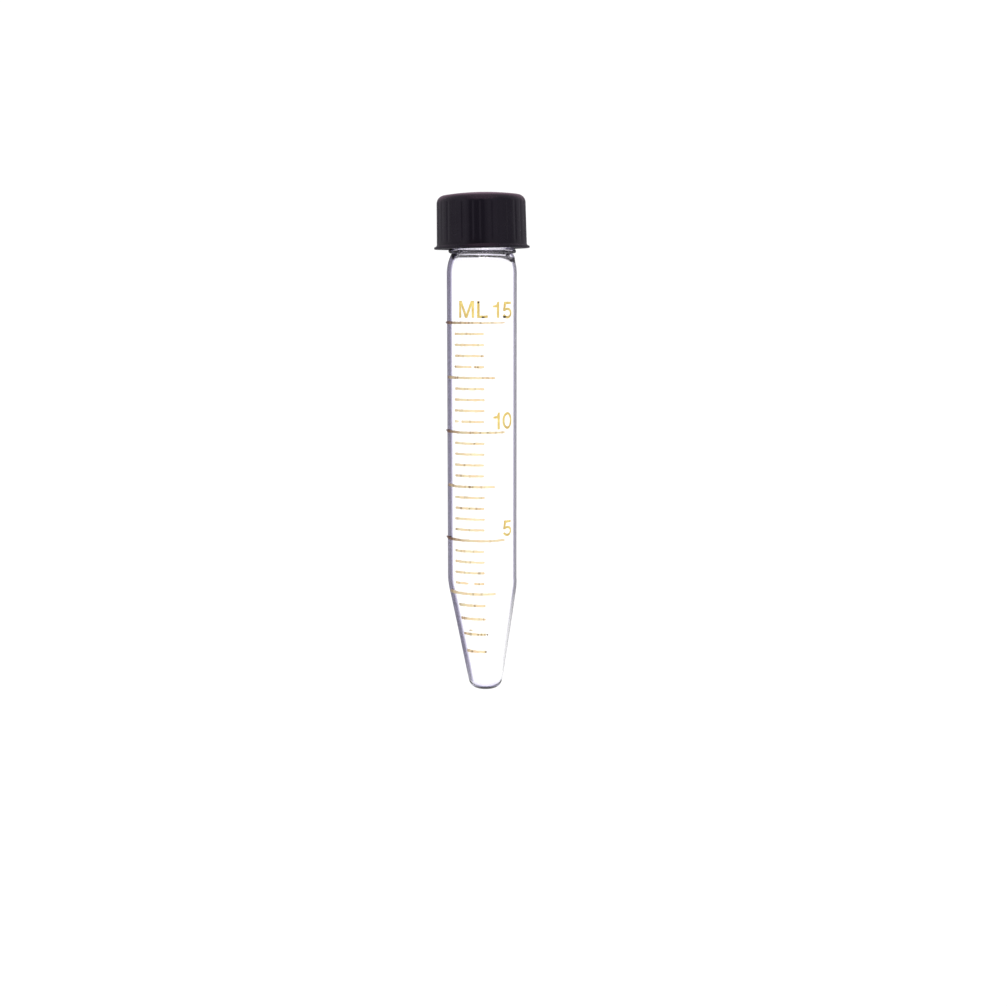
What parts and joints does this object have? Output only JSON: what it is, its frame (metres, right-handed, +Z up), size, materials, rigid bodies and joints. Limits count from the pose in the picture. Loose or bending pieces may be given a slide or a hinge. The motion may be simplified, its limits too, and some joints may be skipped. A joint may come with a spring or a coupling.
{
  "type": "graduated conical tube with screw cap",
  "caption": "Clear glass conical centrifuge tube with an amber printed millilitre scale, a threaded neck and a black fluted screw cap with a liner.",
  "frame": {"origin": "middle of the tube's footprint on the surface it lies on", "axes": "+Y towards the cap, +Z up through the printed scale, +X to the right of the scale as it is read"},
  "size_m": [0.0232, 0.122, 0.0232],
  "materials": {
    "clear_glass": "gloss",
    "amber_enamel": "satin",
    "black_plastic": "gloss",
    "liner_rubber": "matte"
  },
  "bodies": {
    "tube": {"glass_tube": "clear_glass", "graduation_scale": "amber_enamel"},
    "liner": {"cap_liner": "liner_rubber"},
    "cap": {"screw_cap": "black_plastic"}
  },
  "joints": [
    {"name": "cap_lift", "type": "slide", "parent": "tube", "child": "liner", "axis": [0, 0.9993, 0.0383], "range_m": [0, 0.0113]},
    {"name": "cap_turn", "type": "hinge", "parent": "liner", "child": "cap", "pos_m": [0, 0.04727, 0.01158], "axis": [0, 0.9993, 0.0383], "range_deg": [0, 1350]}
  ],
  "couplings": [
    {"joint": "cap_lift", "follows": "cap_turn", "m_per_rad": 0.00047746}
  ]
}
